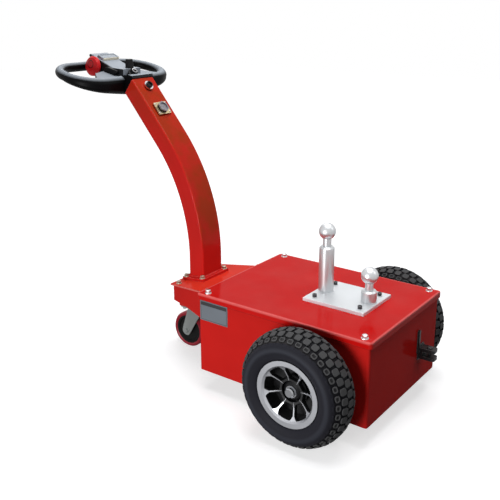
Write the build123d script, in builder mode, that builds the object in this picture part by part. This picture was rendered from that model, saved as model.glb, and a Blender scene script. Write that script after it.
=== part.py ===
"""Walk-behind electric tow tug: a boxed chassis on two drive wheels and a front swivel caster,
a hitch plate with two tow balls, a rear tow jaw, and a curved tiller mast with a bow handle.

The frame: X runs from the hitch end to the tiller end, Y to the machine's left, Z up, the ground
at Z = 0, and the origin on the ground below the middle of the whole machine. Millimetres.
"""
import os
from math import cos, dist, pi, radians, sin

from build123d import *

os.makedirs("parts", exist_ok=True)

# Chassis: distances along X are from the drive axle, which stands at axle_x
axle_x = -414.5
sheet = 4.0
box_rear = axle_x - 175.0
box_front = axle_x + 400.0
box_width = 436.0
box_bottom = 68.0
box_corner = 7.0
rim_flange = 28.0
axle_hole_radius = 30.0

# Deck cover: a folded lid whose lips hang outside the box walls
deck_top = 320.0
cover_sheet = 3.0
cover_rear = axle_x - 182.0
cover_front = axle_x + 404.0
cover_width = 446.0
cover_lip = 15.0
cover_fold = 3.0

# Nose: a tapering plate that slopes down from the box to the tiller end, on a sheet skirt
nose_back_z = 293.0
nose_front = axle_x + 607.0
nose_front_z = 269.0
nose_back_half = 155.0
nose_front_half = 117.0
nose_plate_thick = 5.0
skirt_front = axle_x + 594.0
skirt_inset = 3.0
skirt_knee = axle_x + 530.0
skirt_front_low = 215.0
skirt_knee_low = 209.0
skirt_back_low = 180.0

# Drive wheels, for 13 x 5.00-6 tyres. Offsets are outward from the wheel's middle plane
wheel_radius = 166.7
wheel_mid_y = 290.0
tyre_half_width = 60.0
rim_half_width = 50.0
rim_lip_radius = 95.0
rim_seat_radius = 82.0
rim_barrel_radius = 76.0
rim_bore_radius = 30.5
rim_spokes = 8
spoke_half_width = 2.8
window_inner = 36.0
window_outer = 79.0
window_outer_round = 15.0
window_inner_round = 6.0
window_phase = -9.0
axle_radius = 12.5
hub_radius = 30.0
hub_flange_radius = 42.0
hub_front = 26.0
nut_radius = 14.0
nut_front = 40.0
bearing_plate = 96.0
bearing_thick = 10.0
running_gap = 1.5

# Hitch plate and its two tow posts, with 50 mm balls
ball_radius = 25.0
plate_thick = 10.0
plate_rear = axle_x - 83.0
plate_front = axle_x + 116.0
plate_width = 170.0
plate_bolt_inset = 25.0
plate_bolt_radius = 4.5
post_chamfer = 5.0
tow_posts = (
    # name, distance from the drive axle, height of the ball's centre, body radius, neck radius, body's top
    ("tow_post_tall", 89.0, 515.0, 22.5, 12.5, 470.0),
    ("tow_post_short", -54.0, 409.0, 23.0, 12.0, 366.0),
)

# Tiller mast: a bent rectangular tube on a flange
mast_x = axle_x + 554.0
mast_depth = 60.0
mast_width = 98.0
mast_wall = 4.0
mast_corner = 6.0
mast_bend_start = 345.0
mast_bend_radius = 590.0
mast_bend_angle = 40.0
mast_straight = 282.0
mast_end_angle = 36.0
mast_end = (axle_x + 826.0, 889.5)
flange_length = 92.0
flange_width = 136.0
flange_thick = 9.0

# Bow handle: a closed loop of round grip in a plane that rises to the operator
bow_x = axle_x + 950.0
bow_z = 922.0
bow_tilt = 12.0
bow_half_length = 91.0
bow_half_width = 198.0
bow_corner = 88.0
grip_radius = 15.3
wing_sections = (
    # share of the way from the rear bar round to the side, half width, depth below the grip's middle
    (0.0, 20.0, 50.0),
    (0.35, 20.0, 39.0),
    (0.7, 18.0, 26.0),
    (1.0, grip_radius, 16.5),
)
# Webs between the rear bar and the module: corners in the bow's plane, as (forward, to the side)
web_outline = ((-91.0, 20.0), (-91.0, 128.0), (-80.0, 142.0), (-16.0, 94.0), (-6.0, 50.0), (-6.0, 20.0))
web_top = 9.0
web_thick = 13.0

# Head neck and control module: outlines in the middle plane, as (distance from the drive axle, height)
neck_outline = (
    (808.0, 914.5),
    (844.0, 865.0),
    (866.0, 872.0),
    (866.0, 912.0),
    (852.0, 922.0),
    (826.0, 925.0),
    (812.0, 922.0),
)
module_half_width = 40.0
module_top_front = (1026.0, 989.0)
module_top_rear = (906.0, 942.0)
module_outline = (
    module_top_front,
    module_top_rear,
    (858.0, 940.0),
    (858.0, 908.0),
    (1008.0, 910.0),
    (1014.0, 972.0),
)
module_edge = 5.0

# Stop button: a mushroom head on a collar, on the module's left side, leaning up
stop_centre = (axle_x + 986.0, 943.0)
stop_lean = 8.0
stop_section = (
    # distance out from the module's side, and radius
    (-6.0, 0.0),
    (-6.0, 17.0),
    (8.0, 17.0),
    (8.0, 30.0),
    (11.0, 33.0),
    (17.0, 33.0),
    (23.0, 28.0),
    (26.0, 17.0),
    (26.5, 0.0),
)

# Small controls on the head
display_offset = (8.0, -4.0)
display_size = (32.0, 74.0)
display_height = 9.0
display_frame = 5.0
display_sink = 1.5
paddle_nose = (axle_x + 924.0, 930.0)
paddle_tail = (axle_x + 884.0, 930.0)
paddle_nose_radius = 15.0
paddle_tail_radius = 6.0
paddle_thick = 11.0
knob_centre = (axle_x + 845.0, 11.0, 922.5)
knob_lean = 40.0
# Height along the knob's axis, and radius
knob_section = ((0, 0), (0, 17), (6, 17), (8, 13.5), (15, 13.5), (18, 11), (19, 0))
lever_centre = (axle_x + 872.0, -3.0)
lever_foot = (22.0, 24.0)
lever_top_z = 970.0

# Key switch and charging socket, at distances down the mast from its upper end. The key switch has
# a collar, a barrel and a keyway, each as (radius, length)
key_drop = 35.0
key_collar = (16.0, 5.0)
key_barrel = (11.0, 7.0)
key_way = (8.0, -5.0)
socket_drop = 125.0
socket_plate_size = (46.0, 56.0)
socket_radius = 20.0
socket_height = 10.0
socket_rim = 6.0
socket_recess = 4.0
socket_plate_thick = 3.0

# Front swivel caster, 125 mm, under a bracket from the nose
caster_swivel_x = axle_x + 590.0
caster_trail = 36.0
caster_radius = 62.5
caster_half_width = 17.0
caster_plate_z = 164.0
caster_plate_thick = 5.0
caster_plate_size = (84.0, 96.0)
caster_race = 6.0
caster_race_radius = 32.0
fork_disc_radius = 28.0
fork_crown = 10.0
fork_sheet = 4.0
fork_side_gap = 4.0
fork_end_radius = 17.0
fork_top_length = 50.0
caster_bolt_radius = 6.0
riser_front = axle_x + 588.0
riser_length = 54.0
riser_width = 84.0
riser_wall = 5.0
foot_size = 100.0
foot_thick = 8.0
gusset_thick = 5.0
gusset_rise = 42.0

# Rear tow jaw and its drop pin, low on the right half of the rear wall, with an upright strap beside it
jaw_y = -106.0
jaw_z = 167.0
jaw_reach = 50.3
jaw_half_width = 16.0
jaw_half_height = 17.0
jaw_ear = 9.5
jaw_throat = 36.0
jaw_base = (38.0, 40.0)
jaw_base_thick = 5.0
jaw_nose_round = 9.0
jaw_strap = (6.0, 9.0)
jaw_strap_top = 240.0
jaw_pin_back = 20.0
jaw_pin_section = (
    # height from the jaw's middle, and radius
    (-jaw_half_height - 7.0, 0.0),
    (-jaw_half_height - 7.0, 3.5),
    (-jaw_half_height - 5.0, 5.0),
    (jaw_half_height, 5.0),
    (jaw_half_height, 9.0),
    (jaw_half_height + 3.0, 9.0),
    (jaw_half_height + 5.0, 6.0),
    (jaw_half_height + 5.0, 0.0),
)

# Batteries and drive, closed inside the box
battery_x = axle_x + 215.0
battery_size = (260.0, 336.0, 211.0)
drive_x = axle_x - 10.0
drive_size = (120.0, 150.0, 130.0)
axle_tube_radius = 26.0

box_mid = (box_rear + box_front) / 2
box_length = box_front - box_rear
box_top = deck_top - cover_sheet
cover_mid = (cover_rear + cover_front) / 2
cover_length = cover_front - cover_rear
plate_mid = (plate_rear + plate_front) / 2
plate_bolts = (plate_front - plate_rear - 2 * plate_bolt_inset, plate_width - 2 * plate_bolt_inset)
nose_slope = (nose_back_z - nose_front_z) / (nose_front - box_front)


def nose_height(x):
    """Height of the nose plate's top face at x."""
    return nose_back_z - nose_slope * (x - box_front)


def nose_half(x):
    """Half width of the nose plate at x."""
    share = (x - box_front) / (nose_front - box_front)
    return nose_back_half + (nose_front_half - nose_back_half) * share


def finish(part, name):
    part.label = name
    export_step(part, f"parts/{name}.step")


# Chassis box: floor, four walls, a return flange for the cover's bolts and the axle holes
with BuildPart() as chassis_box:
    with BuildSketch(Plane.XY.offset(box_bottom)):
        with Locations((box_mid, 0)):
            RectangleRounded(box_length, box_width, box_corner)
    extrude(amount=box_top - box_bottom)
    with BuildSketch(Plane.XY.offset(box_bottom + sheet)):
        with Locations((box_mid, 0)):
            RectangleRounded(box_length - 2 * sheet, box_width - 2 * sheet, box_corner - sheet)
    extrude(amount=box_top - box_bottom - 2 * sheet, mode=Mode.SUBTRACT)
    with BuildSketch(Plane.XY.offset(box_top - sheet)):
        with Locations((box_mid, 0)):
            RectangleRounded(box_length - 2 * rim_flange, box_width - 2 * rim_flange, box_corner)
    extrude(amount=sheet, mode=Mode.SUBTRACT)
    with BuildSketch(Plane.XZ):
        with Locations((axle_x, wheel_radius)):
            Circle(axle_hole_radius)
    extrude(amount=box_width, both=True, mode=Mode.SUBTRACT)
finish(chassis_box.part, "chassis_box")

# Deck cover: top sheet with four hanging lips, drilled for the hitch plate
with BuildPart() as deck_cover:
    with BuildSketch(Plane.XY.offset(deck_top)):
        with Locations((cover_mid, 0)):
            RectangleRounded(cover_length, cover_width, box_corner + cover_fold)
    extrude(amount=-(cover_lip + cover_sheet))
    with BuildSketch(Plane.XY.offset(box_top)):
        with Locations((cover_mid, 0)):
            RectangleRounded(cover_length - 2 * cover_sheet, cover_width - 2 * cover_sheet, box_corner)
    extrude(amount=-cover_lip, mode=Mode.SUBTRACT)
    fillet(deck_cover.faces().sort_by(Axis.Z)[-1].edges(), cover_fold)
    with BuildSketch(Plane.XY.offset(deck_top)):
        with Locations((plate_mid, 0)):
            with GridLocations(*plate_bolts, 2, 2):
                Circle(plate_bolt_radius)
    extrude(amount=-cover_sheet, mode=Mode.SUBTRACT)
finish(deck_cover.part, "deck_cover")

# Nose plate: a flat tapering plate that lies on the sloping skirt
nose_plane = Plane(
    origin=(mast_x, 0, nose_height(mast_x)), x_dir=(1, 0, -nose_slope), z_dir=(nose_slope, 0, 1)
)
with BuildPart() as nose_plate:
    with BuildSketch(Plane.XY.offset(nose_front_z - skirt_front_low)):
        with BuildLine():
            Polyline(
                (box_front, nose_back_half),
                (nose_front, nose_front_half),
                (nose_front, -nose_front_half),
                (box_front, -nose_back_half),
                close=True,
            )
        make_face()
    extrude(amount=nose_back_z)
    split(bisect_by=nose_plane, keep=Keep.BOTTOM)
    split(bisect_by=nose_plane.offset(-nose_plate_thick), keep=Keep.TOP)
finish(nose_plate.part, "nose_plate")

# Nose frame: the two sides and the front of the sheet skirt under the nose plate
with BuildPart() as nose_frame:
    for inset, mode in ((0, Mode.ADD), (sheet, Mode.SUBTRACT)):
        with BuildSketch(Plane.XY.offset(box_bottom)):
            with BuildLine():
                back = (box_front, nose_half(box_front) - skirt_inset - inset)
                front = (skirt_front - inset, nose_half(skirt_front) - skirt_inset - inset)
                Polyline(back, front, (front[0], -front[1]), (back[0], -back[1]), close=True)
            make_face()
        extrude(amount=deck_top - box_bottom, mode=mode)
    with BuildSketch(Plane.XZ):
        with BuildLine():
            Polyline(
                (box_front, deck_top),
                (skirt_front, deck_top),
                (skirt_front, skirt_front_low),
                (skirt_knee, skirt_knee_low),
                (box_front, skirt_back_low),
                close=True,
            )
        make_face()
    extrude(amount=nose_back_half, both=True, mode=Mode.INTERSECT)
    split(bisect_by=nose_plane.offset(-nose_plate_thick), keep=Keep.BOTTOM)
finish(nose_frame.part, "nose_frame")

# Mast flange: a plate that lies on the sloping nose plate
with BuildPart() as mast_flange:
    with BuildSketch(nose_plane):
        RectangleRounded(flange_length, flange_width, mast_corner)
    extrude(amount=flange_thick)
finish(mast_flange.part, "mast_flange")

# Mast: upright from the flange, then one large bend, then straight to the head
bend_centre = (mast_x + mast_bend_radius, mast_bend_start)
bend = radians(mast_bend_angle)
bend_end = (
    mast_x + mast_bend_radius * (1 - cos(bend)),
    mast_bend_start + mast_bend_radius * sin(bend),
)
mast_tip = (bend_end[0] + mast_straight * sin(bend), bend_end[1] + mast_straight * cos(bend))
mast_foot = nose_height(mast_x) - flange_thick
end_cut = Plane(
    origin=(mast_end[0], 0, mast_end[1]),
    z_dir=(cos(radians(mast_end_angle)), 0, sin(radians(mast_end_angle))),
)
with BuildPart() as mast_tube:
    with BuildLine(Plane.XZ) as mast_path:
        Line((mast_x, mast_foot), (mast_x, mast_bend_start))
        CenterArc(bend_centre, mast_bend_radius, 180, -mast_bend_angle)
        Line(bend_end, mast_tip)
    with BuildSketch(Plane.XY.offset(mast_foot)):
        with Locations((mast_x, 0)):
            RectangleRounded(mast_depth, mast_width, mast_corner)
            inner_size = (mast_depth - 2 * mast_wall, mast_width - 2 * mast_wall)
            RectangleRounded(*inner_size, mast_corner - mast_wall, mode=Mode.SUBTRACT)
    sweep(path=mast_path.wires()[0])
    split(bisect_by=nose_plane.offset(flange_thick), keep=Keep.TOP)
    split(bisect_by=end_cut, keep=Keep.BOTTOM)
finish(mast_tube.part, "mast_tube")

# Bow handle: half the loop is swept and mirrored. From the middle of the rear bar round to the side,
# the section is a broad slot whose lower end rises, and from there round to the front bar it is the
# round grip. A flat web fills the rear corner up to the module
tilt = radians(bow_tilt)
bow_plane = Plane(
    origin=(bow_x, 0, bow_z), x_dir=(cos(tilt), 0, sin(tilt)), z_dir=(-sin(tilt), 0, cos(tilt))
)
corner_x = bow_half_length - bow_corner
corner_y = bow_half_width - bow_corner
with BuildPart() as bow_handle:
    with BuildLine(bow_plane) as wing_line:
        Line((-bow_half_length, 0), (-bow_half_length, corner_y))
        CenterArc((-corner_x, corner_y), bow_corner, 180, -90)
        Line((-corner_x, bow_half_width), (corner_x, bow_half_width))
    wing_path = wing_line.wires()[0]
    for share, half, depth in wing_sections:
        along = wing_path % share
        drop = depth - grip_radius
        with BuildSketch(Plane(wing_path @ share, x_dir=bow_plane.z_dir.cross(along), z_dir=along)):
            with BuildLine():
                outer = Line((half, 0), (half, -drop))
                under = ThreePointArc(outer @ 1, (0, -depth), (-half, -drop))
                inner = Line(under @ 1, (-half, 0))
                ThreePointArc(inner @ 1, (0, grip_radius), outer @ 0)
            make_face()
    sweep(path=wing_path, multisection=True)
    with BuildSketch(bow_plane.offset(web_top)):
        with BuildLine():
            Polyline(*web_outline, close=True)
        make_face()
    extrude(amount=-web_thick)
    with BuildLine(bow_plane) as grip_line:
        CenterArc((corner_x, corner_y), bow_corner, 90, -90)
        Line((bow_half_length, corner_y), (bow_half_length, 0))
    with BuildSketch(Plane(wing_path @ 1, z_dir=wing_path % 1)):
        Circle(grip_radius)
    sweep(path=grip_line.wires()[0])
    mirror(about=Plane.XZ)
finish(bow_handle.part, "bow_handle")

# Head neck: the moulded block between the mast's cut end and the bow's rear bar
with BuildPart() as head_neck:
    with BuildSketch(Plane.XZ):
        with BuildLine():
            Polyline(*[(axle_x + x, z) for x, z in neck_outline], close=True)
        make_face()
    extrude(amount=mast_width / 2 - 1, both=True)
    split(bisect_by=end_cut, keep=Keep.TOP)
    add(bow_handle.part, mode=Mode.SUBTRACT)
finish(head_neck.part, "head_neck")

# Control module: a wedge housing that sits over the bow's rear bar
with BuildPart() as control_module:
    with BuildSketch(Plane.XZ):
        with BuildLine():
            Polyline(*[(axle_x + x, z) for x, z in module_outline], close=True)
        make_face()
    extrude(amount=module_half_width, both=True)
    slope_length = dist(module_top_front, module_top_rear)
    crown = control_module.edges().filter_by(lambda edge: abs(edge.length - slope_length) < 1)
    fillet(crown + control_module.edges().filter_by(Axis.Y).group_by(Axis.Z)[-1], module_edge)
    add(bow_handle.part, mode=Mode.SUBTRACT)
    add(head_neck.part, mode=Mode.SUBTRACT)
finish(control_module.part, "control_module")

# Stop button: turned about an axis that points out of the module's left side and a little up
stop_rise = radians(stop_lean)
stop_origin = (stop_centre[0], module_half_width, stop_centre[1])
stop_axis = Axis(stop_origin, (0, cos(stop_rise), sin(stop_rise)))
with BuildPart() as stop_button:
    with BuildSketch(Plane(stop_origin, x_dir=stop_axis.direction, z_dir=(0, -sin(stop_rise), cos(stop_rise)))):
        with BuildLine():
            Polyline(*stop_section, close=True)
        make_face()
    revolve(axis=stop_axis)
    add(bow_handle.part, mode=Mode.SUBTRACT)
    add(control_module.part, mode=Mode.SUBTRACT)
finish(stop_button.part, "stop_button")

# Status display: a raised bezel on the module's slope, with a sunk window
slope_run = (module_top_front[0] - module_top_rear[0], module_top_front[1] - module_top_rear[1])
module_top = Plane(
    origin=(axle_x + module_top_rear[0] + slope_run[0] / 2, 0, module_top_rear[1] + slope_run[1] / 2),
    x_dir=(slope_run[0], 0, slope_run[1]),
    z_dir=(-slope_run[1], 0, slope_run[0]),
)
with BuildPart() as status_display:
    with BuildSketch(module_top):
        with Locations(display_offset):
            RectangleRounded(*display_size, 4)
    extrude(amount=display_height)
    chamfer(status_display.faces().sort_by(Axis(module_top.origin, module_top.z_dir))[-1].edges(), 1.5)
    with BuildSketch(module_top.offset(display_height)):
        with Locations(display_offset):
            RectangleRounded(*[size - 2 * display_frame for size in display_size], 3)
    extrude(amount=-display_sink, mode=Mode.SUBTRACT)
finish(status_display.part, "status_display")

# Throttle paddles: a drop-shaped paddle under each thumb, on the module's two sides
for side, name in ((1, "throttle_left"), (-1, "throttle_right")):
    with BuildPart() as throttle:
        with BuildSketch(Plane.XZ.offset(-side * module_half_width)):
            with Locations(paddle_nose):
                Circle(paddle_nose_radius)
            with Locations(paddle_tail):
                Circle(paddle_tail_radius)
            make_hull()
        extrude(amount=-side * paddle_thick)
        fillet(throttle.faces().sort_by(Axis.Y)[-1 if side > 0 else 0].edges(), 3)
        add(bow_handle.part, mode=Mode.SUBTRACT)
    finish(throttle.part, name)

# Speed knob: a collar and a domed cap, leaning back at the module's rear end
lean = radians(knob_lean)
knob_axis = Axis(knob_centre, (-sin(lean), 0, cos(lean)))
with BuildPart() as speed_knob:
    with BuildSketch(Plane(knob_centre, x_dir=(cos(lean), 0, sin(lean)), z_dir=(0, -1, 0))):
        with BuildLine():
            Polyline(*[(radius, height) for height, radius in knob_section], close=True)
        make_face()
    revolve(axis=knob_axis)
    add(bow_handle.part, mode=Mode.SUBTRACT)
    add(head_neck.part, mode=Mode.SUBTRACT)
    add(control_module.part, mode=Mode.SUBTRACT)
finish(speed_knob.part, "speed_knob")

# Horn lever: a tapering block on the module's rear deck
with BuildPart() as horn_lever:
    with BuildSketch(Plane.XY.offset(module_top_rear[1] - 4)):
        with Locations(lever_centre):
            RectangleRounded(*lever_foot, 5)
    extrude(amount=lever_top_z - module_top_rear[1] + 4, taper=5)
    add(control_module.part, mode=Mode.SUBTRACT)
finish(horn_lever.part, "horn_lever")

# Key switch and charging socket on the mast's upper face, at distances down from its end
mast_back = Plane(
    origin=(axle_x + neck_outline[0][0], 0, neck_outline[0][1]),
    x_dir=(-sin(bend), 0, -cos(bend)),
    z_dir=(-cos(bend), 0, sin(bend)),
)
with BuildPart() as key_switch:
    with BuildSketch(mast_back):
        with Locations((key_drop, 0)):
            Circle(key_collar[0])
    extrude(amount=key_collar[1])
    with BuildSketch(mast_back.offset(key_collar[1])):
        with Locations((key_drop, 0)):
            Circle(key_barrel[0])
    extrude(amount=key_barrel[1])
    with BuildSketch(mast_back.offset(key_collar[1] + key_barrel[1])):
        with Locations((key_drop, 0)):
            Circle(key_way[0])
    extrude(amount=key_way[1], mode=Mode.SUBTRACT)
finish(key_switch.part, "key_switch")
with BuildPart() as socket_plate:
    with BuildSketch(mast_back):
        with Locations((socket_drop, 0)):
            RectangleRounded(*socket_plate_size, 3)
    extrude(amount=socket_plate_thick)
finish(socket_plate.part, "socket_plate")
with BuildPart() as charge_socket:
    with BuildSketch(mast_back.offset(socket_plate_thick)):
        with Locations((socket_drop, 0)):
            RegularPolygon(socket_radius, 6)
    extrude(amount=socket_height)
    with BuildSketch(mast_back.offset(socket_plate_thick + socket_height)):
        with Locations((socket_drop, 0)):
            Circle(socket_radius - socket_rim)
    extrude(amount=-socket_recess, mode=Mode.SUBTRACT)
finish(charge_socket.part, "charge_socket")

# Hitch plate, drilled for its four bolts
with BuildPart() as hitch_plate:
    with BuildSketch(Plane.XY.offset(deck_top)):
        with Locations((plate_mid, 0)):
            Rectangle(plate_front - plate_rear, plate_width)
            with GridLocations(*plate_bolts, 2, 2):
                Circle(plate_bolt_radius, mode=Mode.SUBTRACT)
    extrude(amount=plate_thick)
    chamfer(hitch_plate.edges().filter_by(GeomType.LINE).group_by(Axis.Z)[-1], 1)
finish(hitch_plate.part, "hitch_plate")

# Tow posts: turned from bar, each with a neck and a ball
post_base = deck_top + plate_thick
for name, distance, ball_z, body_radius, neck_radius, body_top in tow_posts:
    ball_meet = ball_z - (ball_radius**2 - neck_radius**2) ** 0.5
    ball_crown = ball_z + ball_radius
    with BuildPart() as tow_post:
        with BuildSketch(Plane(origin=(axle_x + distance, 0, 0), x_dir=(1, 0, 0), z_dir=(0, -1, 0))):
            with BuildLine():
                Polyline(
                    (0, post_base),
                    (body_radius, post_base),
                    (body_radius, body_top - post_chamfer),
                    (body_radius - post_chamfer, body_top),
                    (neck_radius, body_top),
                    (neck_radius, ball_meet),
                )
                ThreePointArc((neck_radius, ball_meet), (ball_radius, ball_z), (0, ball_crown))
                Line((0, ball_crown), (0, post_base))
            make_face()
        revolve(axis=Axis((axle_x + distance, 0, 0), (0, 0, 1)))
    finish(tow_post.part, name)

# Rear tow jaw: a wall plate with an upright strap at its edge, and a forked casting, with a drop pin
# through both ears
jaw_rear = box_rear - jaw_reach
jaw_root = box_rear - jaw_base_thick
jaw_pin_x = jaw_rear + jaw_pin_back
jaw_pin_radius = max(radius for height, radius in jaw_pin_section if height < jaw_half_height)
with BuildPart() as tow_jaw:
    with BuildSketch(Plane.YZ.offset(box_rear)):
        with Locations((jaw_y, jaw_z)):
            RectangleRounded(*jaw_base, 5)
    extrude(amount=-jaw_base_thick)
    with BuildSketch(Plane.YZ.offset(box_rear)):
        with Locations((jaw_y + jaw_base[0] / 2, jaw_z)):
            Rectangle(jaw_strap[1], jaw_strap_top - jaw_z, align=(Align.CENTER, Align.MIN))
    extrude(amount=-jaw_strap[0])
    with BuildSketch(Plane.XY.offset(jaw_z - jaw_half_height)):
        with Locations(((jaw_root + jaw_rear) / 2, jaw_y)):
            Rectangle(jaw_root - jaw_rear, 2 * jaw_half_width)
    extrude(amount=2 * jaw_half_height)
    fillet(tow_jaw.edges().filter_by(Axis.Z).group_by(Axis.X)[0], jaw_nose_round)
    with Locations((jaw_rear, jaw_y, jaw_z)):
        throat = (2 * jaw_throat, 4 * jaw_half_width, 2 * (jaw_half_height - jaw_ear))
        Box(*throat, mode=Mode.SUBTRACT)
    with BuildSketch(Plane.XY.offset(jaw_z - jaw_half_height)):
        with Locations((jaw_pin_x, jaw_y)):
            Circle(jaw_pin_radius)
    extrude(amount=2 * jaw_half_height, mode=Mode.SUBTRACT)
finish(tow_jaw.part, "tow_jaw")
with BuildPart() as jaw_pin:
    with BuildSketch(Plane(origin=(jaw_pin_x, jaw_y, jaw_z), x_dir=(1, 0, 0), z_dir=(0, -1, 0))):
        with BuildLine():
            Polyline(*[(radius, height) for height, radius in jaw_pin_section], close=True)
        make_face()
    revolve(axis=Axis((jaw_pin_x, jaw_y, 0), (0, 0, 1)))
finish(jaw_pin.part, "jaw_pin")

# Batteries: one plain block on the box floor, ahead of the drive
with BuildPart() as battery_pack:
    with Locations((battery_x, 0, box_bottom + sheet)):
        Box(*battery_size, align=(Align.CENTER, Align.CENTER, Align.MIN))
finish(battery_pack.part, "battery_pack")

# Drive unit: gearbox and motor as one plain block, with an axle tube to each side wall
with BuildPart() as drive_unit:
    with Locations((drive_x, 0, wheel_radius)):
        Box(*drive_size)
    for radius, mode in ((axle_tube_radius, Mode.ADD), (axle_radius + running_gap, Mode.SUBTRACT)):
        with BuildSketch(Plane.XZ):
            with Locations((axle_x, wheel_radius)):
                Circle(radius)
        extrude(amount=box_width / 2 - sheet, both=True, mode=mode)
finish(drive_unit.part, "drive_unit")

# Drive wheels: bearing plate on the wall, then shaft, hub, rim, tyre and nut. Each section is drawn with
# the offset outward from the wheel's middle plane across, and the radius up
lip = rim_half_width
barrel = rim_barrel_radius
half_pitch = pi / rim_spokes
window_narrow = (window_inner * sin(half_pitch) - spoke_half_width) / cos(half_pitch)
window_wide = (window_outer * sin(half_pitch) - spoke_half_width) / cos(half_pitch)
hub_section = (
    # offset, radius
    (90 - wheel_mid_y, 0),
    (90 - wheel_mid_y, axle_radius),
    (-44, axle_radius),
    (-44, hub_radius),
    (8, hub_radius),
    (8, hub_flange_radius),
    (15, hub_flange_radius),
    (15, hub_radius),
    (22, hub_radius - 4),
    (hub_front, nut_radius + 6),
    (hub_front, 0),
)
nut_section = (
    (hub_front, 0),
    (hub_front, nut_radius + 3),
    (hub_front + 2, nut_radius + 3),
    (hub_front + 2, nut_radius),
    (nut_front - 3, nut_radius),
    (nut_front, nut_radius - 3),
    (nut_front, 0),
)
barrel_section = (
    (-lip, rim_lip_radius),
    (-lip, rim_lip_radius - 7),
    (6 - lip, barrel),
    (lip - 6, barrel),
    (lip, window_outer + 2),
    (lip, rim_lip_radius),
    (lip - 6, rim_lip_radius),
    (lip - 8, rim_seat_radius),
    (8 - lip, rim_seat_radius),
    (6 - lip, rim_lip_radius),
)
spoke_section = (
    (lip - 3, window_outer + 1),
    (lip - 7, 74),
    (36, 62),
    (29, 44),
    (27, rim_bore_radius),
    (15.5, rim_bore_radius),
    (16, 44),
    (24, 62),
    (32, window_outer),
)
web_section = ((-4, rim_bore_radius), (-4, barrel + 2), (0, barrel + 2), (0, rim_bore_radius))
tyre_half = (
    (42, rim_seat_radius),
    (44, rim_lip_radius),
    (54, rim_lip_radius + 9),
    (tyre_half_width, 122),
    (tyre_half_width - 0.5, 135),
    (55.5, 142.5),
    (47, 147.5),
    (38, 151),
    (37, wheel_radius - 11.2),
    (18, wheel_radius - 2.1),
    (17, wheel_radius - 5.7),
    (11, wheel_radius - 4.9),
    (10, wheel_radius),
)
tyre_section = tuple((-offset, radius) for offset, radius in tyre_half) + tyre_half[::-1]
with BuildSketch() as window:
    with BuildLine():
        corners = ((window_inner, window_narrow), (window_outer, window_wide))
        Polyline(*corners, *[(x, -y) for x, y in reversed(corners)], close=True)
    make_face()
    fillet(window.vertices().group_by(Axis.X)[-1], window_outer_round)
    fillet(window.vertices().group_by(Axis.X)[0], window_inner_round)
wheel_axis = Axis((axle_x, 0, wheel_radius), (0, 1, 0))
for side, name in ((1, "left"), (-1, "right")):
    wheel_centre = (axle_x, side * wheel_mid_y, wheel_radius)
    section = Plane(origin=wheel_centre, x_dir=(0, side, 0), z_dir=(side, 0, 0))
    face_plane = Plane(origin=wheel_centre, x_dir=(1, 0, 0), z_dir=(0, side, 0))

    with BuildPart() as bearing:
        with BuildSketch(Plane.XZ.offset(-side * box_width / 2)):
            with Locations((axle_x, wheel_radius)):
                RectangleRounded(bearing_plate, bearing_plate, 12)
                Circle(axle_radius + running_gap, mode=Mode.SUBTRACT)
        extrude(amount=-side * bearing_thick)
    finish(bearing.part, f"bearing_{name}")

    for piece, outline in (("wheel_hub", hub_section), ("hub_cap", nut_section), ("tyre", tyre_section)):
        with BuildPart() as turned:
            with BuildSketch(section):
                with BuildLine():
                    Polyline(*outline, close=True)
                make_face()
            revolve(axis=wheel_axis)
        finish(turned.part, f"{piece}_{name}")

    # Rim: barrel, centre web and a dished face cut through by rounded windows between thin spokes
    with BuildPart() as rim:
        with BuildSketch(section):
            with BuildLine():
                Polyline(*spoke_section, close=True)
            make_face()
        revolve(axis=wheel_axis)
        with BuildSketch(face_plane):
            with PolarLocations(0, rim_spokes, window_phase):
                add(window.sketch)
        extrude(amount=lip, mode=Mode.SUBTRACT)
        for outline in (barrel_section, web_section):
            with BuildSketch(section):
                with BuildLine():
                    Polyline(*outline, close=True)
                make_face()
            revolve(axis=wheel_axis)
    finish(rim.part, f"rim_{name}")

# Caster bracket: a riser under the nose plate, a foot plate and two gussets
caster_wheel_x = caster_swivel_x + caster_trail
foot_top = caster_plate_z + foot_thick
with BuildPart() as caster_bracket:
    with BuildSketch(Plane.XY.offset(caster_plate_z)):
        with Locations((riser_front - riser_length / 2, 0)):
            RectangleRounded(riser_length, riser_width, riser_wall + 1)
            riser_hollow = (riser_length - 2 * riser_wall, riser_width - 2 * riser_wall)
            RectangleRounded(*riser_hollow, 1, mode=Mode.SUBTRACT)
    extrude(amount=deck_top - caster_plate_z)
    split(bisect_by=nose_plane.offset(-nose_plate_thick), keep=Keep.BOTTOM)
    with BuildSketch(Plane.XY.offset(caster_plate_z)):
        with Locations((caster_swivel_x - 4, 0)):
            RectangleRounded(foot_size, foot_size, 8)
    extrude(amount=foot_thick)
    gusset_y = riser_width / 2 - 2 * riser_wall
    for y in (-gusset_y, gusset_y - gusset_thick):
        with BuildSketch(Plane.XZ.offset(-y)):
            with BuildLine():
                Polyline(
                    (riser_front - 1, foot_top - 1),
                    (riser_front + gusset_rise, foot_top - 1),
                    (riser_front + gusset_rise, foot_top + 5),
                    (riser_front + 6, foot_top + gusset_rise),
                    (riser_front - 1, foot_top + gusset_rise),
                    close=True,
                )
            make_face()
        extrude(amount=-gusset_thick)
finish(caster_bracket.part, "caster_bracket")

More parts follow.
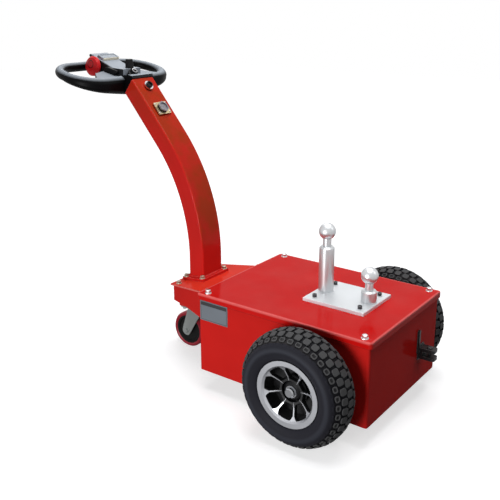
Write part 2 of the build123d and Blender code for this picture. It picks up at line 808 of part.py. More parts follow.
# Caster: top plate with its ball race, and the swivelling fork below
fork_top = caster_plate_z - caster_plate_thick - caster_race - 1
fork_inside = caster_half_width + fork_side_gap
with BuildPart() as caster_plate:
    with BuildSketch(Plane.XY.offset(caster_plate_z)):
        with Locations((caster_swivel_x, 0)):
            RectangleRounded(*caster_plate_size, 8)
    extrude(amount=-caster_plate_thick)
    with BuildSketch(Plane.XY.offset(caster_plate_z - caster_plate_thick)):
        with Locations((caster_swivel_x, 0)):
            Circle(caster_race_radius)
    extrude(amount=-caster_race, taper=12)
finish(caster_plate.part, "caster_plate")
with BuildPart() as caster_fork:
    with BuildSketch(Plane.XZ):
        with Locations((caster_swivel_x, fork_top - fork_crown)):
            Rectangle(fork_top_length, 2 * fork_crown)
        with Locations((caster_wheel_x, caster_radius)):
            Circle(fork_end_radius)
        make_hull()
    extrude(amount=fork_inside + fork_sheet, both=True)
    with BuildSketch(Plane.YZ.offset(caster_swivel_x - 40)):
        with Locations((0, fork_top - fork_crown)):
            Rectangle(2 * fork_inside, fork_top, align=(Align.CENTER, Align.MAX))
    extrude(amount=3 * caster_radius, mode=Mode.SUBTRACT)
    with BuildSketch(Plane.XY.offset(fork_top)):
        with Locations((caster_swivel_x, 0)):
            Circle(fork_disc_radius)
    extrude(amount=-fork_crown)
    with BuildSketch(Plane.XZ):
        with Locations((caster_wheel_x, caster_radius)):
            Circle(caster_bolt_radius)
    extrude(amount=2 * fork_inside, both=True, mode=Mode.SUBTRACT)
finish(caster_fork.part, "caster_fork")
with BuildPart() as caster_bolt:
    with BuildSketch(Plane.XZ):
        with Locations((caster_wheel_x, caster_radius)):
            Circle(caster_bolt_radius)
    extrude(amount=fork_inside + fork_sheet, both=True)
    for side in (1, -1):
        with BuildSketch(Plane.XZ.offset(side * (fork_inside + fork_sheet))):
            with Locations((caster_wheel_x, caster_radius)):
                RegularPolygon(1.5 * caster_bolt_radius, 6)
        extrude(amount=side * caster_bolt_radius)
finish(caster_bolt.part, "caster_bolt")

# Caster wheel: a moulded hub and a cast tread. Half sections: (offset along the axle, radius)
hub_half = fork_inside - 1
caster_sections = (
    (
        "caster_hub",
        ((hub_half, 6.4), (hub_half, 13), (12, 13), (8, 18), (8, 40), (14, 44), (14, 50)),
    ),
    (
        "caster_tread",
        ((14, 50), (caster_half_width, 54), (caster_half_width, 58), (11, caster_radius)),
    ),
)
caster_axis = Axis((caster_wheel_x, 0, caster_radius), (0, 1, 0))
for name, half in caster_sections:
    with BuildPart() as turned:
        with BuildSketch(Plane(origin=(caster_wheel_x, 0, caster_radius), x_dir=(0, 1, 0), z_dir=(1, 0, 0))):
            with BuildLine():
                Polyline(*half, *[(-offset, radius) for offset, radius in reversed(half)], close=True)
            make_face()
        revolve(axis=caster_axis)
    finish(turned.part, name)
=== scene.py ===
from math import cos, pi, radians, sin, sqrt

import bmesh
import bpy
from mathutils import Matrix, Vector


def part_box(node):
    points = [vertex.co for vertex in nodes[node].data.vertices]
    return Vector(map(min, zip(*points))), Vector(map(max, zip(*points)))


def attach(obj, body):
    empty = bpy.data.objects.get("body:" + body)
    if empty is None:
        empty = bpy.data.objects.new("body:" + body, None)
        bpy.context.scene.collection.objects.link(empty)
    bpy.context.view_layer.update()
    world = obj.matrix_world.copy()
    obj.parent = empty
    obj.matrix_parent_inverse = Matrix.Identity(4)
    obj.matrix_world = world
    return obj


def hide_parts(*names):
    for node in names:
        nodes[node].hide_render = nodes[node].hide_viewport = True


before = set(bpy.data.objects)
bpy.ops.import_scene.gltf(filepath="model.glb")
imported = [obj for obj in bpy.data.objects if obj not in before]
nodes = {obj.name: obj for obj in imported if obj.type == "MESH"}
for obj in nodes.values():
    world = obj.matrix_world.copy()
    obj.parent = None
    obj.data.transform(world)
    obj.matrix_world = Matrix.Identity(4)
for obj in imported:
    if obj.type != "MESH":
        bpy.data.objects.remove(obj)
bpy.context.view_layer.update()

scene = bpy.context.scene
scene.view_settings.view_transform = "Standard"

# The studio: a camera at the photograph's angle, a pale floor that keeps the shadow, and a white
# surround. The surround is white to the eye and in reflections, and gives only a weak fill light.
camera = bpy.data.objects.new("photo_camera", bpy.data.cameras.new("photo_camera"))
camera.data.sensor_width = 36.0
camera.data.lens = 53.98
camera.data.shift_x = -0.01374
camera.data.shift_y = -0.0674
camera.location = (-1.3844, 1.8032, 1.1710)
camera.rotation_euler = (radians(73.635), 0.0, radians(-143.94))
scene.collection.objects.link(camera)
scene.camera = camera


def add_node(tree, kind, sockets=(), **settings):
    """A node of that kind, with its settings, and each socket given a value or a link."""
    made = tree.nodes.new(kind)
    for name, value in settings.items():
        setattr(made, name, value)
    for socket, value in dict(sockets).items():
        if isinstance(value, bpy.types.NodeSocket):
            tree.links.new(value, made.inputs[socket])
        else:
            made.inputs[socket].default_value = value
    return made


def calculate(tree, operation, *values):
    """The result of a sum on numbers."""
    return add_node(tree, "ShaderNodeMath", enumerate(values), operation=operation).outputs[0]


def calculate_vector(tree, operation, *values):
    """The result of a sum on vectors: a number for a length or a dot product, else a vector."""
    made = add_node(tree, "ShaderNodeVectorMath", enumerate(values), operation=operation)
    return made.outputs["Value" if operation in ("LENGTH", "DOT_PRODUCT") else "Vector"]


def remap(tree, value, low, high, to_low=0.0, to_high=1.0):
    """A value carried over from one range to another, and held at the ends."""
    sockets = enumerate((value, low, high, to_low, to_high))
    return add_node(tree, "ShaderNodeMapRange", sockets).outputs[0]


def mix_colour(tree, factor, first, second):
    return add_node(tree, "ShaderNodeMix", {0: factor, 6: first, 7: second}, data_type="RGBA").outputs[2]


def object_place(tree):
    """Where a point of a piece lies in the part's frame."""
    return add_node(tree, "ShaderNodeTexCoord").outputs["Object"]


def ray_kinds(tree):
    """1 for rays from the eye, and 1 for rays off gloss or through glass."""
    rays = add_node(tree, "ShaderNodeLightPath").outputs
    off_surface = calculate(tree, "MAXIMUM", rays["Is Glossy Ray"], rays["Is Transmission Ray"])
    return rays["Is Camera Ray"], off_surface


pure_white = (1.0, 1.0, 1.0, 1.0)
surround = bpy.data.worlds.new("studio_surround")
surround.use_nodes = True
scene.world = surround
sky = surround.node_tree
sky.nodes.clear()
seen = calculate(sky, "MAXIMUM", *ray_kinds(sky))
fill = add_node(sky, "ShaderNodeBackground", {"Color": (0.95, 0.97, 1.0, 1.0), "Strength": 0.09})
white_sky = add_node(sky, "ShaderNodeBackground", {"Color": pure_white, "Strength": 1.0})
blend = add_node(sky, "ShaderNodeMixShader", {0: seen, 1: fill.outputs[0], 2: white_sky.outputs[0]})
add_node(sky, "ShaderNodeOutputWorld", {"Surface": blend.outputs[0]})

floor_size = 9.0
floor_bounce, floor_grey = (0.16, 0.16, 0.16, 1.0), (0.62, 0.62, 0.63, 1.0)
# distance from the middle, from and to, and the floor's own light there
glow_to_eye = (1.0, 2.4, 0.62, 1.0)
glow_to_gloss = (0.3, 1.8, 0.25, 0.8)
floor_mesh = bpy.data.meshes.new("studio_floor")
bm = bmesh.new()
bmesh.ops.create_grid(bm, x_segments=1, y_segments=1, size=floor_size)
bm.to_mesh(floor_mesh)
bm.free()
studio_floor = bpy.data.objects.new("studio_floor", floor_mesh)
scene.collection.objects.link(studio_floor)
floor_finish = bpy.data.materials.new("floor_finish")
floor_finish.use_nodes = True
tree = floor_finish.node_tree
tree.nodes.clear()
from_eye, off_gloss = ray_kinds(tree)
from_middle = calculate_vector(tree, "LENGTH", object_place(tree))
to_eye = calculate(tree, "MULTIPLY", from_eye, remap(tree, from_middle, *glow_to_eye))
to_gloss = calculate(tree, "MULTIPLY", off_gloss, remap(tree, from_middle, *glow_to_gloss))
own_light = calculate(tree, "ADD", to_eye, to_gloss)
floor_tint = mix_colour(tree, from_eye, floor_bounce, floor_grey)
matt = add_node(tree, "ShaderNodeBsdfDiffuse", {"Color": floor_tint})
glow = add_node(tree, "ShaderNodeEmission", {"Color": pure_white, "Strength": own_light})
both = add_node(tree, "ShaderNodeAddShader", {0: matt.outputs[0], 1: glow.outputs[0]})
add_node(tree, "ShaderNodeOutputMaterial", {"Surface": both.outputs[0]})
floor_mesh.materials.append(floor_finish)

soft_lights = (
    # name, place, aimed at, width, height, watts
    ("key_light", (-0.18, 2.0, 0.4), (-0.3, 0.0, 0.3), 0.8, 0.8, 28.0),
    ("top_light", (-0.42, -0.1, 3.05), (-0.1, 0.0, 0.3), 2.4, 2.0, 76.0),
    ("back_light", (1.8, -2.0, 3.0), (0.0, 0.0, 0.5), 2.2, 1.6, 16.0),
    ("rear_light", (-2.6, -1.2, 2.2), (-0.5, 0.0, 0.3), 1.4, 1.2, 8.5),
)
for name, place, aim, width, height, watts in soft_lights:
    lamp = bpy.data.objects.new(name, bpy.data.lights.new(name, "AREA"))
    lamp.data.shape = "RECTANGLE"
    lamp.data.size, lamp.data.size_y = width, height
    lamp.data.energy = watts
    lamp.location = place
    lamp.rotation_euler = (Vector(aim) - Vector(place)).to_track_quat("-Z", "Y").to_euler()
    scene.collection.objects.link(lamp)

# The skirt under the nose, the mast's flange and the caster's bracket: folded and welded steel, all in the
# red powder coat of the whole body. The coat has a fine orange peel, a painted highlight on edges and dust
# on top.


def new_group(name, inputs, outputs):
    """A node group with float or vector inputs (label, default) and float outputs."""
    group = bpy.data.node_groups.new(name, "ShaderNodeTree")
    for label, default in inputs:
        kind = "NodeSocketVector" if isinstance(default, tuple) else "NodeSocketFloat"
        group.interface.new_socket(name=label, in_out="INPUT", socket_type=kind).default_value = default
    for label in outputs:
        group.interface.new_socket(name=label, in_out="OUTPUT", socket_type="NodeSocketFloat")
    return group, group.nodes.new("NodeGroupInput").outputs, group.nodes.new("NodeGroupOutput")


def true_normal(tree):
    return add_node(tree, "ShaderNodeNewGeometry").outputs["Normal"]


def parts_of(tree, vector):
    """The X, Y and Z of a vector, by name."""
    return add_node(tree, "ShaderNodeSeparateXYZ", {0: vector}).outputs


def noise(tree, scale, detail):
    """Even noise through a piece, round 0.5."""
    sockets = {"Vector": object_place(tree), "Scale": scale, "Detail": detail}
    return add_node(tree, "ShaderNodeTexNoise", sockets).outputs[0]


# Paler edges: where the rounded and the true normal part, broken into patches. On the red coat they are a
# painted highlight.
edge_wear_and_highlight, given, out = new_group("edge_wear_and_highlight", (("Width", 0.001),), ("Mask",))
rounded = add_node(edge_wear_and_highlight, "ShaderNodeBevel", {"Radius": given["Width"]}, samples=4).outputs[0]
turn = calculate_vector(edge_wear_and_highlight, "DOT_PRODUCT", rounded, true_normal(edge_wear_and_highlight))
near_edge = remap(edge_wear_and_highlight, turn, 0.985, 0.88)
broken = remap(edge_wear_and_highlight, noise(edge_wear_and_highlight, 70.0, 3.0), 0.32, 0.55)
edge_wear_and_highlight.links.new(calculate(edge_wear_and_highlight, "MULTIPLY", near_edge, broken), out.inputs["Mask"])

# Surface grain: a fine even height, and a broad slow drift of tone
surface_grain, given, out = new_group("surface_grain", (("Fineness", 300.0),), ("Height", "Tone"))
surface_grain.links.new(noise(surface_grain, given["Fineness"], 3.0), out.inputs["Height"])
drift_of_tone = remap(surface_grain, noise(surface_grain, 7.0, 4.0), 0.32, 0.68)
surface_grain.links.new(drift_of_tone, out.inputs["Tone"])

# Dust and sheen: a thin film on what faces up, thicker in patches. It is settled dust on most finishes and
# a painted sheen on the charcoal plastics.
dust_and_sheen, given, out = new_group("dust_and_sheen", (("Amount", 0.1), ("Evenness", 0.0)), ("Mask",))
facing_up = remap(dust_and_sheen, parts_of(dust_and_sheen, true_normal(dust_and_sheen))["Z"], 0.45, 0.95)
drifts = remap(dust_and_sheen, noise(dust_and_sheen, 9.0, 6.0), 0.4, 0.75)
patchy = calculate(dust_and_sheen, "MAXIMUM", given["Evenness"], drifts)
film = calculate(dust_and_sheen, "MULTIPLY", facing_up, patchy)
dust_and_sheen.links.new(calculate(dust_and_sheen, "MULTIPLY", film, given["Amount"]), out.inputs["Mask"])


def use_group(tree, group, sockets=()):
    made = add_node(tree, "ShaderNodeGroup", node_tree=group)
    for socket, value in dict(sockets).items():
        made.inputs[socket].default_value = value
    return made.outputs


def colour_of(rgb):
    return (*rgb, 1.0)


def mix_value(tree, factor, first, second):
    return add_node(tree, "ShaderNodeMix", {0: factor, 2: first, 3: second}).outputs[0]


def add_bump(tree, depth, height):
    sockets = {"Strength": 1.0, "Distance": depth, "Height": height}
    return add_node(tree, "ShaderNodeBump", sockets)


def feed(finish, sockets):
    """Links values into the shader of a finish."""
    shader = finish.node_tree.nodes["Principled BSDF"]
    for name, value in sockets.items():
        finish.node_tree.links.new(value, shader.inputs[name])


def fed_by(finish, name):
    """What feeds that socket of a finish's shader so far."""
    return finish.node_tree.nodes["Principled BSDF"].inputs[name].links[0].from_socket


def tint_where(finish, mask, colour):
    """Mixes another colour into a finish where the mask is 1."""
    base = fed_by(finish, "Base Color")
    feed(finish, {"Base Color": mix_colour(finish.node_tree, mask, base, colour_of(colour))})


def make_finish(
    name, colour, roughness, drift=0.14, grain=(300.0, 0.00002), edge_tint=None, top_film=None, plain=()
):
    """A finish: its colour drifts a little, its grain is bump, its edges turn paler and its tops take a
    film.

    grain is (fineness, depth), edge_tint is (colour, width, roughness) and top_film is (colour, amount,
    evenness, roughness). On the red coat the paler edges are a painted highlight; on the charcoal plastics
    the top film is a painted sheen, and elsewhere it is dust. plain holds the shader's sockets that have one
    value all over.
    """
    finish = bpy.data.materials.new(name)
    finish.use_nodes = True
    tree = finish.node_tree
    for socket, value in dict(plain).items():
        tree.nodes["Principled BSDF"].inputs[socket].default_value = value
    fineness, depth = grain
    grained = use_group(tree, surface_grain, {"Fineness": fineness})
    darker = colour_of([part * (1.0 - drift) for part in colour])
    tint = mix_colour(tree, grained["Tone"], darker, colour_of(colour))
    gloss = remap(tree, grained["Tone"], 0.0, 1.0, roughness * 0.9, roughness * 1.12)
    if edge_tint:
        edge_colour, width, edge_gloss = edge_tint
        edge = use_group(tree, edge_wear_and_highlight, {"Width": width})["Mask"]
        tint = mix_colour(tree, edge, tint, colour_of(edge_colour))
        gloss = mix_value(tree, edge, gloss, edge_gloss)
    if top_film:
        film_colour, amount, evenness, film_gloss = top_film
        film = use_group(tree, dust_and_sheen, {"Amount": amount, "Evenness": evenness})["Mask"]
        tint = mix_colour(tree, film, tint, colour_of(film_colour))
        gloss = mix_value(tree, film, gloss, film_gloss)
    bump = add_bump(tree, depth, grained["Height"])
    feed(finish, {"Base Color": tint, "Roughness": gloss, "Normal": bump.outputs[0]})
    return finish


def coat_nodes(finish, *names):
    """Gives CAD nodes a finish in all their material slots."""
    for name in names:
        mesh = nodes[name].data
        if not mesh.materials:
            mesh.materials.append(finish)
        for index in range(len(mesh.materials)):
            nodes[name].material_slots[index].material = finish


grey_dust = (0.5, 0.46, 0.42)
# pale red of the painted highlight on the coat's edges
edge_highlight_red = (0.66, 0.09, 0.085)


def make_red(name, edge_width=0.003, colour=(0.57, 0.0155, 0.0125), coat=0.13):
    """The body's red powder coat, with a painted highlight over the edges for edge_width on each side."""
    return make_finish(
        name, colour, 0.42, drift=0.08, grain=(260.0, 0.000012),
        edge_tint=(edge_highlight_red, edge_width, 0.4), top_film=(grey_dust, 0.03, 0.0, 0.85),
        plain={"Specular IOR Level": 0.0, "Coat Weight": coat, "Coat Roughness": 0.1},
    )


red_paint = make_red("red_powder_coat")
coat_nodes(red_paint, "nose_frame", "mast_flange", "caster_bracket")

# The mast: a rectangular steel tube bent forward, welded to its flange and powder coated. A warm brown
# painted shade lies in broad patches on its back, and thinner on all sides near the head.
mast_paint = make_red("mast_red_coat")
shade_brown = (0.34, 0.03, 0.006)
back_shade_heights = (0.38, 0.44)
# height from and to, and the painted shade's share there
head_shade = (0.6, 0.88, 0.0, 0.45)
tree = mast_paint.node_tree
height = parts_of(tree, object_place(tree))["Z"]
faces_back = remap(tree, parts_of(tree, true_normal(tree))["X"], -0.5, -0.8)
on_back = calculate(tree, "MULTIPLY", faces_back, remap(tree, height, *back_shade_heights))
near_head = remap(tree, height, *head_shade)
patchy = remap(tree, noise(tree, 11.0, 4.0), 0.4, 0.6, 0.25, 1.0)
film = calculate(tree, "MULTIPLY", calculate(tree, "MAXIMUM", on_back, near_head), patchy)
# the brown mixed in here is painted shade
tint_where(mast_paint, film, shade_brown)
coat_nodes(mast_paint, "mast_tube")

# The nose plate: thick steel bolted down on the skirt, in the same red. Its top is painted paler than the
# rest as a painted highlight, and its cut sides paler still, also a painted highlight.
nose_paint = make_red("nose_red_coat")
top_highlight_red, side_highlight_red = (0.66, 0.034, 0.018), (0.68, 0.14, 0.125)
tree = nose_paint.node_tree
upward = parts_of(tree, true_normal(tree))["Z"]
# painted highlight on the top, and a paler painted highlight on the cut sides
tint_where(nose_paint, remap(tree, upward, 0.6, 0.9), top_highlight_red)
tint_where(nose_paint, remap(tree, calculate(tree, "ABSOLUTE", upward), 0.5, 0.3), side_highlight_red)
coat_nodes(nose_paint, "nose_plate")

# The deck cover: one steel sheet folded down on all four sides and bolted to the box. A pale line of
# painted highlight runs over the folds round the deck.
cover_low, cover_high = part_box("deck_cover")
cover_paint = make_red("cover_red_coat", 0.0008, (0.56, 0.006, 0.005), 0.2)
fold_highlight_red = (0.66, 0.1, 0.095)
fold_highlight_width = (0.0075, 0.0035)
tree = cover_paint.node_tree
spot = parts_of(tree, object_place(tree))
inside = calculate(tree, "SUBTRACT", cover_high.y, calculate(tree, "ABSOLUTE", spot["Y"]))
from_rear = calculate(tree, "SUBTRACT", spot["X"], cover_low.x)
from_front = calculate(tree, "SUBTRACT", cover_high.x, spot["X"])
for distance in (from_rear, from_front):
    inside = calculate(tree, "MINIMUM", inside, distance)
from_fold = calculate(tree, "ADD", inside, calculate(tree, "SUBTRACT", cover_high.z, spot["Z"]))
# painted highlight along the folds
tint_where(cover_paint, remap(tree, from_fold, *fold_highlight_width), fold_highlight_red)
coat_nodes(cover_paint, "deck_cover")

# The chassis box: folded and welded steel sheet in the same red, closed by the cover. A dark line of
# painted shadow lies on its walls under the cover's lip.
wall_paint = make_red("wall_red_coat", 0.0016, coat=0.08)
lip_shadow_band, shadow_red = 0.006, (0.16, 0.004, 0.004)
tree = wall_paint.node_tree
height = parts_of(tree, object_place(tree))["Z"]
# painted shadow under the cover's lip
tint_where(wall_paint, remap(tree, height, cover_low.z - lip_shadow_band, cover_low.z), shadow_red)
coat_nodes(wall_paint, "chassis_box")

# The body's fasteners: zinc-plated hexagon bolts on washers. Four hold the cover, four the nose plate and
# four the mast's flange, these eight in a duller yellowish zinc. They stand on the sheet that they clamp.
axle_x = -0.4145
bright_zinc = make_finish(
    "bright_zinc", (0.66, 0.65, 0.66), 0.3, grain=(900.0, 0.00001),
    edge_tint=((0.8, 0.8, 0.8), 0.0004, 0.2), plain={"Metallic": 1.0},
)
dull_zinc = make_finish(
    "dull_yellow_zinc", (0.4, 0.35, 0.27), 0.4, grain=(900.0, 0.00001),
    edge_tint=((0.66, 0.62, 0.55), 0.0004, 0.3), plain={"Metallic": 1.0},
)


def stand_on(foot, up):
    """The place of something built along Z, stood on foot along up."""
    return Matrix.Translation(foot) @ Vector(up).to_track_quat("Z", "Y").to_matrix().to_4x4()


def end_face(bm, made, up):
    """The face at the far end along up, of the shape that was just made."""
    bm.normal_update()
    faces = {face for vert in made["verts"] for face in vert.link_faces}
    return max(faces, key=lambda face: (face.normal.dot(up), face.calc_center_median().dot(up)))


def step_in(bm, face, thickness, depth):
    """A step in a face: the rest of it moves in by thickness and out by depth."""
    bmesh.ops.inset_region(bm, faces=[face], thickness=thickness, depth=depth, use_even_offset=True)


def add_round(bm, place, segments, radius, top_radius, length):
    """A closed round or prism along Z, from its foot at place."""
    return bmesh.ops.create_cone(
        bm, cap_ends=True, segments=segments, radius1=radius, radius2=top_radius, depth=length,
        matrix=place @ Matrix.Translation((0, 0, length / 2)),
    )


def add_hex_bolt(bm, foot, up, across=0.013, head=0.0065, washer=0.0095):
    """A washer with a bevelled edge and a hexagon head with a chamfered top."""
    washer_thick, washer_bevel = 0.0018, 0.0006
    place = stand_on(foot, up)
    add_round(bm, place, 28, washer, washer - washer_bevel, washer_thick)
    corner = across / sqrt(3)
    hexagon = add_round(bm, place @ Matrix.Translation((0, 0, washer_thick)), 6, corner, corner, head)
    step_in(bm, end_face(bm, hexagon, Vector(up).normalized()), 0.0013, 0.0009)


def finish_piece(name, bm, finish, body, smooth=32.0):
    """Turns a bmesh into a piece that rides on a body and takes a slot's finish."""
    mesh = bpy.data.meshes.new(name)
    bm.to_mesh(mesh)
    bm.free()
    mesh.polygons.foreach_set("use_smooth", [True] * len(mesh.polygons))
    mesh.set_sharp_from_angle(angle=radians(smooth))
    mesh.materials.append(finish)
    made = bpy.data.objects.new(name, mesh)
    scene.collection.objects.link(made)
    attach(made, body)
    return made


nose_slope = 24.0 / 207.0
nose_up = Vector((nose_slope, 0.0, 1.0)).normalized()
nose_rear_x, nose_rear_z = 0.4, 0.293


def on_nose(x, y, above=0.0):
    """A point on the sloping nose plate, or that far above it."""
    return Vector((x, y, nose_rear_z - nose_slope * (x - axle_x - nose_rear_x))) + nose_up * above


cover_bolt_rows = (cover_low.x + 0.031, cover_high.x - 0.029)
cover_bolt_y = 0.203
cover_bolt_size = {"across": 0.014, "head": 0.0075, "washer": 0.0105}
nose_bolt_places = ((0.166, 0.105), (0.020, 0.134))
mast_x = axle_x + 0.554
flange_thick = 0.009
flange_bolt_x, flange_bolt_y = 0.034, 0.057
bm = bmesh.new()
for x in cover_bolt_rows:
    for y in (-cover_bolt_y, cover_bolt_y):
        add_hex_bolt(bm, (x, y, cover_high.z), (0, 0, 1), **cover_bolt_size)
finish_piece("cover_bolts", bm, bright_zinc, "chassis")
bm = bmesh.new()
for x, y in nose_bolt_places:
    for side in (-1, 1):
        add_hex_bolt(bm, on_nose(x, side * y), nose_up)
finish_piece("nose_bolts", bm, dull_zinc, "chassis")
bm = bmesh.new()
for x in (-flange_bolt_x, flange_bolt_x):
    for y in (-flange_bolt_y, flange_bolt_y):
        add_hex_bolt(bm, on_nose(mast_x + x, y, flange_thick), nose_up)
finish_piece("flange_bolts", bm, dull_zinc, "chassis")

# The mast's weld: a rippled steel bead laid all round the tube's foot, which joins it to the flange. It was
# laid before the coat, so it is red too.
weld_half_x, weld_half_y = 0.03, 0.049
weld_radius, weld_pitch, weld_lift = 0.0048, 0.0042, 0.0004


def lay_bead(bm, start, end, up, radius, pitch):
    """A straight weld bead: overlapping flattened drops, one for each dip of the rod."""
    count = round((end - start).length / pitch)
    for index in range(count):
        place = stand_on(start.lerp(end, index / count), up) @ Matrix.Diagonal((1, 1, 0.75, 1))
        bmesh.ops.create_icosphere(bm, subdivisions=2, radius=radius, matrix=place)


bm = bmesh.new()
foot = [
    on_nose(mast_x + x * weld_half_x, y * weld_half_y, flange_thick + weld_lift)
    for x, y in ((-1, -1), (1, -1), (1, 1), (-1, 1))
]
for start, end in zip(foot, foot[1:] + foot[:1]):
    lay_bead(bm, start, end, nose_up, weld_radius, weld_pitch)
finish_piece("mast_weld", bm, red_paint, "chassis", smooth=60.0)

# The data plate on the near wall: a thin anodised aluminium plate, left blank, held by four rivets.
# Only its frame line and a plain dark band along its top are printed.
wall_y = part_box("chassis_box")[1].y
plate_thick, plate_edge = 0.0012, 0.0004
plate_low = Vector((-0.124, wall_y, 0.236))
plate_high = Vector((-0.020, wall_y + plate_thick, 0.299))
frame_line_inset, frame_line_half = 0.003, 0.0006
band_height = 0.014
print_black = (0.02, 0.02, 0.022)
rivet_inset, rivet_radius = 0.0016, 0.0013
plate_finish = make_finish(
    "plate_aluminium", (0.15, 0.17, 0.195), 0.5, grain=(500.0, 0.000006), plain={"Metallic": 0.2},
)
tree = plate_finish.node_tree
spot = parts_of(tree, object_place(tree))
middle, half = (plate_low + plate_high) / 2, (plate_high - plate_low) / 2
to_line = []
for part, centre, reach in (("X", middle.x, half.x), ("Z", middle.z, half.z)):
    off_centre = calculate(tree, "ABSOLUTE", calculate(tree, "SUBTRACT", spot[part], centre))
    to_line.append(calculate(tree, "SUBTRACT", reach - frame_line_inset, off_centre))
inside = calculate(tree, "MINIMUM", *to_line)
line = calculate(tree, "COMPARE", inside, frame_line_half, frame_line_half)
near_top = calculate(tree, "GREATER_THAN", spot["Z"], plate_high.z - band_height)
band = calculate(tree, "MULTIPLY", near_top, calculate(tree, "GREATER_THAN", inside, 0.0))
tint_where(plate_finish, calculate(tree, "MAXIMUM", line, band), print_black)
bm = bmesh.new()
bmesh.ops.create_cube(bm, size=1.0)
bmesh.ops.scale(bm, verts=bm.verts, vec=plate_high - plate_low)
bmesh.ops.translate(bm, verts=bm.verts, vec=middle)
bmesh.ops.bevel(
    bm, geom=bm.edges[:], offset=plate_edge, affect="EDGES", segments=1, profile=0.5, material=-1
)
for x in (plate_low.x + rivet_inset, plate_high.x - rivet_inset):
    for z in (plate_low.z + rivet_inset, plate_high.z - rivet_inset):
        bmesh.ops.create_uvsphere(
            bm, u_segments=12, v_segments=6, radius=rivet_radius,
            matrix=Matrix.Translation((x, plate_high.y, z)) @ Matrix.Diagonal((1, 0.5, 1, 1)),
        )
finish_piece("data_plate", bm, plate_finish, "chassis")

# The hitch: a milled aluminium plate bolted through the cover by four black cap screws, and two tow
# posts turned from bar with 50 mm balls. The turning leaves fine rings round the posts. The plate's sides
# are painted paler and a little bluer than its top, a painted highlight.
milled = make_finish(
    "milled_aluminium", (0.6, 0.62, 0.64), 0.5, drift=0.05, grain=(700.0, 0.000008),
    edge_tint=((0.8, 0.8, 0.82), 0.0008, 0.35), plain={"Metallic": 0.6},
)
plate_side_highlight = (0.7, 0.82, 0.87)
tree = milled.node_tree
upward = parts_of(tree, true_normal(tree))["Z"]
# painted highlight on the plate's sides
tint_where(milled, remap(tree, upward, 0.5, 0.3), plate_side_highlight)
coat_nodes(milled, "hitch_plate")
ring_pitch, ring_depth = 0.0007, 0.000002
turned_metal = make_finish(
    "turned_metal", (0.6, 0.615, 0.63), 0.3, drift=0.06, grain=(60.0, 0.000004), plain={"Metallic": 0.8},
)
tree = turned_metal.node_tree
height = parts_of(tree, object_place(tree))["Z"]
rings = calculate(tree, "SINE", calculate(tree, "MULTIPLY", height, 2 * pi / ring_pitch))
tooling = add_bump(tree, ring_depth, rings)
tree.links.new(fed_by(turned_metal, "Normal"), tooling.inputs["Normal"])
feed(turned_metal, {"Normal": tooling.outputs[0]})
coat_nodes(turned_metal, "tow_post_tall", "tow_post_short")
black_oxide = make_finish(
    "black_oxide", (0.06, 0.06, 0.065), 0.4, grain=(900.0, 0.00001), edge_tint=((0.25, 0.25, 0.26), 0.0005, 0.3),
    plain={"Metallic": 0.7},
)


def add_cap_screw(bm, foot, up, radius=0.0065, head=0.008, key=0.003):
    """A round head with a bevelled rim. Its hexagon socket is key from the middle to a corner."""
    bevel, key_wall, key_depth = 0.0007, 0.0002, 0.0045
    made = add_round(bm, stand_on(foot, up), 24, radius, radius, head)
    top = end_face(bm, made, Vector(up).normalized())
    step_in(bm, top, bevel, 0.0006)
    step_in(bm, top, radius - bevel - key, 0.0)
    corners = list(top.verts)
    centre = top.calc_center_median()
    for index, vert in enumerate(corners):
        turn = 2 * pi * index / len(corners)
        reach = cos(pi / 6) / cos((turn % (pi / 3)) - pi / 6)
        vert.co = centre + (vert.co - centre).normalized() * key * reach
    step_in(bm, top, key_wall, -key_depth)


hitch_low, hitch_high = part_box("hitch_plate")
hitch_screw_inset, hitch_screw_y = 0.025, 0.06
bm = bmesh.new()
for x in (hitch_low.x + hitch_screw_inset, hitch_high.x - hitch_screw_inset):
    for y in (-hitch_screw_y, hitch_screw_y):
        add_cap_screw(bm, (x, y, hitch_high.z), (0, 0, 1))
finish_piece("hitch_screws", bm, black_oxide, "chassis")

# The rear jaw: a small black-painted casting welded to the rear wall by its foot plate and the upright
# strap beside it, with a drop pin through both ears.
jaw_paint = make_finish(
    "jaw_black_paint", (0.012, 0.012, 0.014), 0.45, grain=(180.0, 0.00006),
    edge_tint=((0.2, 0.19, 0.18), 0.0008, 0.35), top_film=(grey_dust, 0.06, 0.0, 0.85),
    plain={"Specular IOR Level": 0.3},
)
coat_nodes(jaw_paint, "tow_jaw", "jaw_pin")
jaw_wall_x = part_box("tow_jaw")[1].x
jaw_weld_sink, jaw_weld_radius, jaw_weld_pitch = 0.0005, 0.0028, 0.0026
jaw_welds = (
    # across and up, from start to end, along the foot plate's edges and the strap
    ((-0.125, 0.187), (-0.125, 0.147)), ((-0.125, 0.147), (-0.087, 0.147)),
    ((-0.087, 0.147), (-0.087, 0.166)), ((-0.125, 0.187), (-0.092, 0.187)),
    ((-0.0825, 0.170), (-0.0825, 0.239)),
)
bm = bmesh.new()
for ends in jaw_welds:
    start, end = [Vector((jaw_wall_x - jaw_weld_sink, across, up)) for across, up in ends]
    lay_bead(bm, start, end, (-1, 0, 0), jaw_weld_radius, jaw_weld_pitch)
finish_piece("jaw_weld", bm, jaw_paint, "chassis", smooth=60.0)

